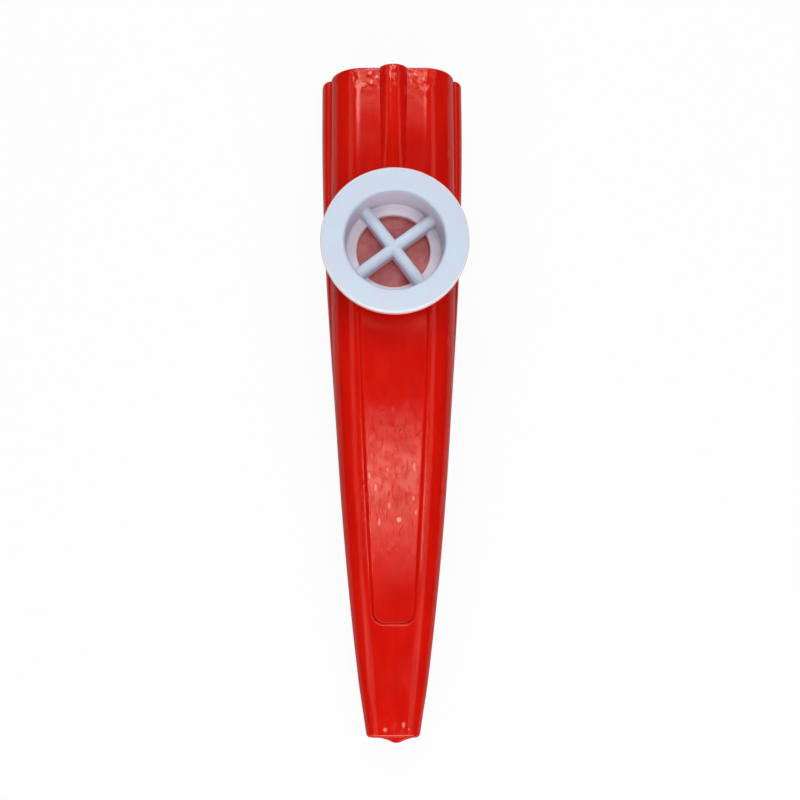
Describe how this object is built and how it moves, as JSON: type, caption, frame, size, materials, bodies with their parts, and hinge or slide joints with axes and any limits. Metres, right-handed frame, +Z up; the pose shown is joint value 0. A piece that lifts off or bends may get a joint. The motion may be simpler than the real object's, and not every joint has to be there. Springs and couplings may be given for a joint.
{
  "type": "kazoo",
  "caption": "Plastic kazoo: tapered hollow body of bonded shells, open at both ends, with a screw cap and cross grille over a replaceable membrane.",
  "frame": {"origin": "centre of the bounding box's base, on the flat underside", "axes": "+X across the body, +Y along it towards the wide mouth end, +Z up through the screw cap"},
  "size_m": [0.0262, 0.12, 0.022],
  "materials": {
    "body_plastic": "moulded, glossy red",
    "cap_plastic": "moulded, pale bluish white",
    "ring_card": "pressed fibre, matt",
    "membrane_film": "thin translucent film"
  },
  "bodies": {
    "kazoo_body": {"top_shell": "body_plastic", "bottom_shell": "body_plastic"},
    "film_body": {"membrane": "membrane_film"},
    "ring_body": {"membrane_ring": "ring_card"},
    "cap_body": {"screw_cap": "cap_plastic"}
  },
  "joints": [
    {"name": "lift_out", "type": "slide", "parent": "kazoo_body", "child": "film_body", "axis": [0, 0, 1], "range_m": [0, 0.02]},
    {"name": "cap_turn", "type": "hinge", "parent": "film_body", "child": "ring_body", "pos_m": [0, 0.0272, 0.0137], "axis": [0, 0, 1], "range_deg": [0, 1080]},
    {"name": "cap_rise", "type": "slide", "parent": "ring_body", "child": "cap_body", "axis": [0, 0, 1], "range_m": [0, 0.0061]}
  ],
  "couplings": [
    {"joint": "cap_rise", "follows": "cap_turn", "m_per_rad": 0.00031831}
  ]
}
